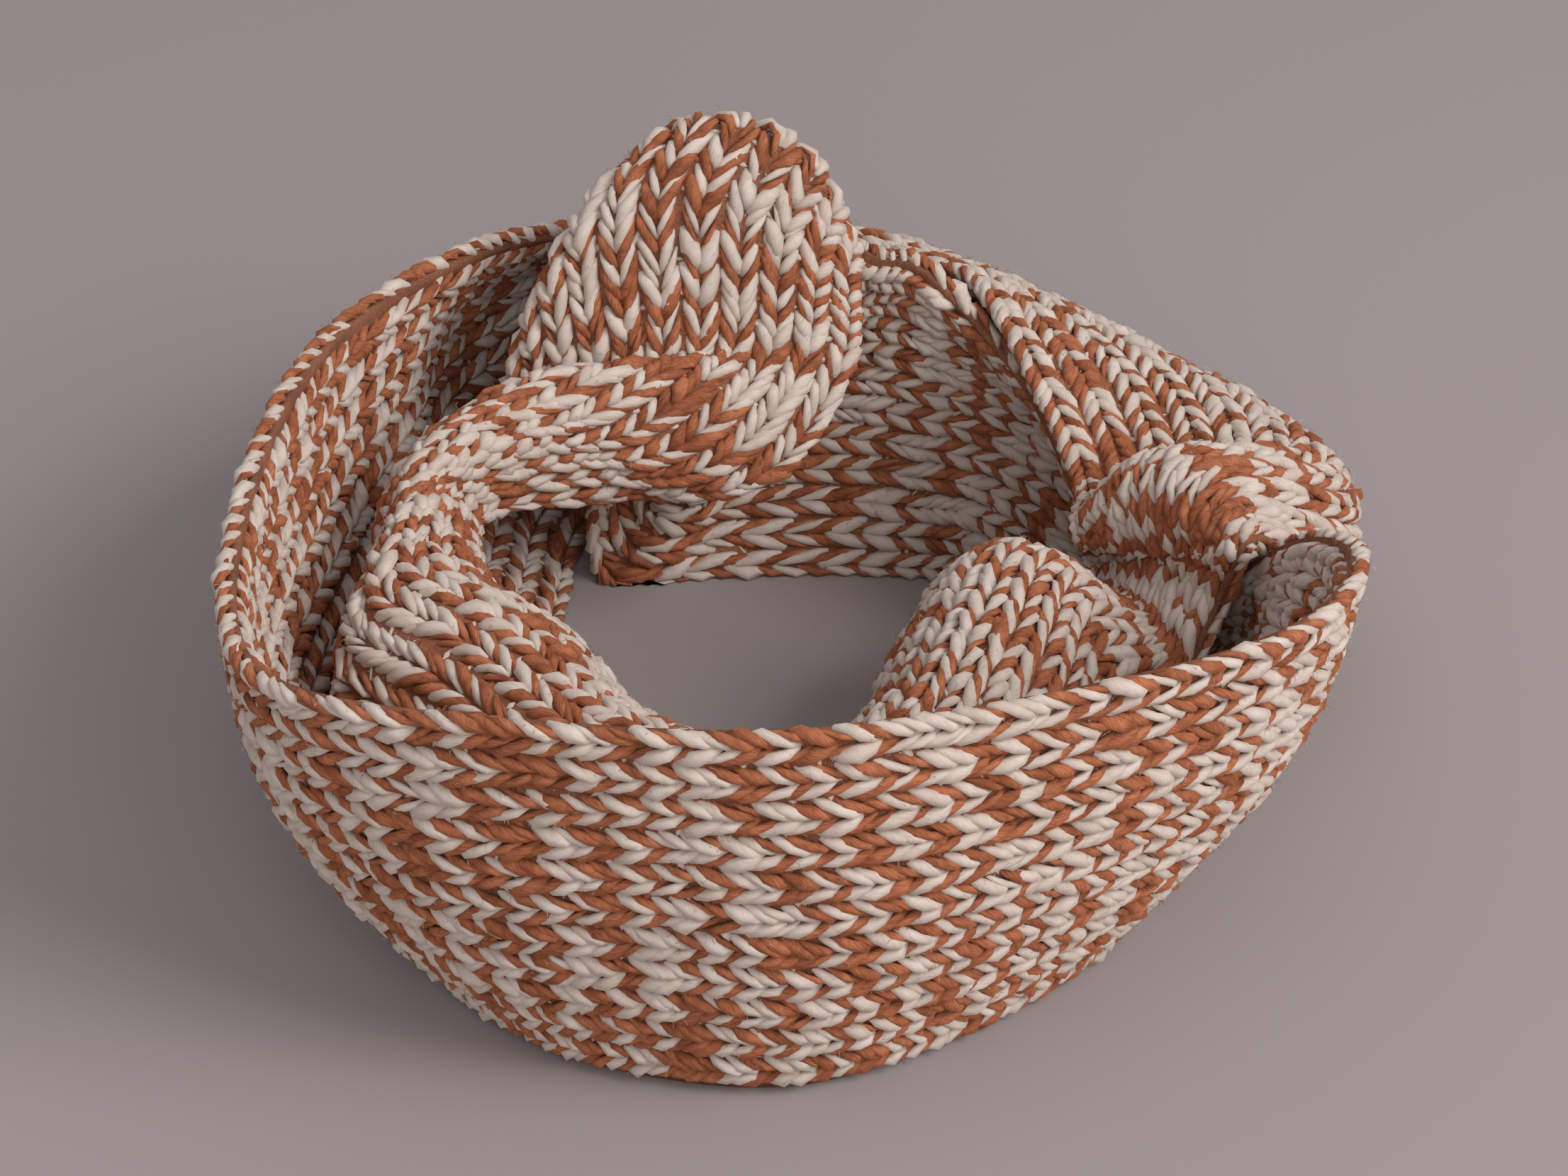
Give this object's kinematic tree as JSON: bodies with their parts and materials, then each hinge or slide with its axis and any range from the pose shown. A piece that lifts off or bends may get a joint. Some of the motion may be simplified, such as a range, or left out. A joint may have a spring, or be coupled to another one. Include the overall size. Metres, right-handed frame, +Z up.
{
  "type": "infinity scarf",
  "caption": "Chunky ribbed knit loop scarf, wound twice and laid down as a bowl shaped coil round an open neck hole.",
  "frame": {"origin": "middle of the laid scarf's outline, on the surface it rests on", "axes": "+Z up from the surface, +Y from the tall front panel towards the slumped back, +X to the right seen from the front"},
  "size_m": [0.3104, 0.3918, 0.1498],
  "materials": {
    "front_panel": "matt marled wool, cream and rust strands knitted together",
    "back_centre": "matt marled wool, cream and rust strands knitted together",
    "peak_lobe": "matt marled wool, cream and rust strands knitted together",
    "inner_coil": "matt marled wool, cream and rust strands knitted together",
    "inner_front": "matt marled wool, cream and rust strands knitted together",
    "right_curl": "matt marled wool, cream and rust strands knitted together",
    "right_flap": "matt marled wool, cream and rust strands knitted together",
    "back_outer": "matt marled wool, cream and rust strands knitted together",
    "left_outer": "matt marled wool, cream and rust strands knitted together"
  },
  "bodies": {
    "root": {"front_panel": "front_panel", "back_centre": "back_centre", "peak_lobe": "peak_lobe", "inner_coil": "inner_coil", "inner_front": "inner_front", "right_curl": "right_curl", "right_flap": "right_flap", "back_outer": "back_outer", "left_outer": "left_outer"}
  },
  "joints": []
}
